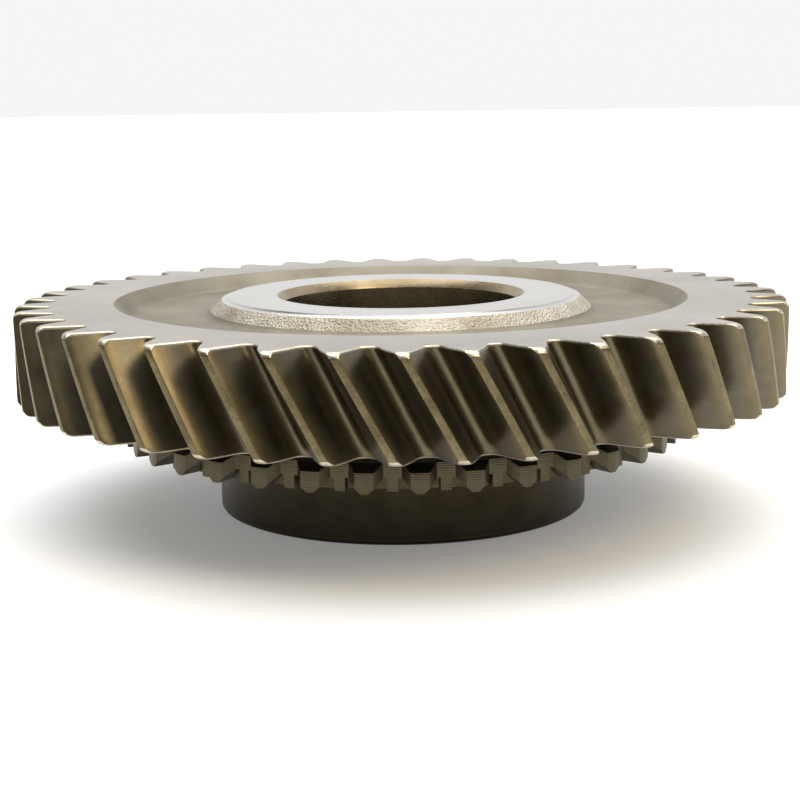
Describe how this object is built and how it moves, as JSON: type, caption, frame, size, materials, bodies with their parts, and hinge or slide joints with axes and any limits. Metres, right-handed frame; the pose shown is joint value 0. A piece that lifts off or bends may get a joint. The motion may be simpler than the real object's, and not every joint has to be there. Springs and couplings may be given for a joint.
{
  "type": "helical gear",
  "caption": "Loose helical gear of a manual gearbox: recessed web, raised ground hub with a chamfered bore, dog clutch ring with pointed teeth and a turned sleeve below.",
  "frame": {"origin": "centre of the bore at the lower end face, the end of the hub and sleeve", "axes": "+Z along the bore from the sleeve end to the ground hub face; the middle of one gear tooth at the rim's top face points along -Y"},
  "size_m": [0.132, 0.132, 0.0368],
  "materials": {
    "gear_steel": "case-hardened steel, hobbed and lapped flanks, shot-blasted forged web, ground hub face",
    "ring_steel": "hardened steel, dull brown-grey with turning lines on the teeth",
    "sleeve_steel": "dark oxidised steel with fine turned grooves"
  },
  "bodies": {
    "root": {"gear_wheel": "gear_steel", "dog_clutch_ring": "ring_steel", "synchro_sleeve": "sleeve_steel"}
  },
  "joints": []
}
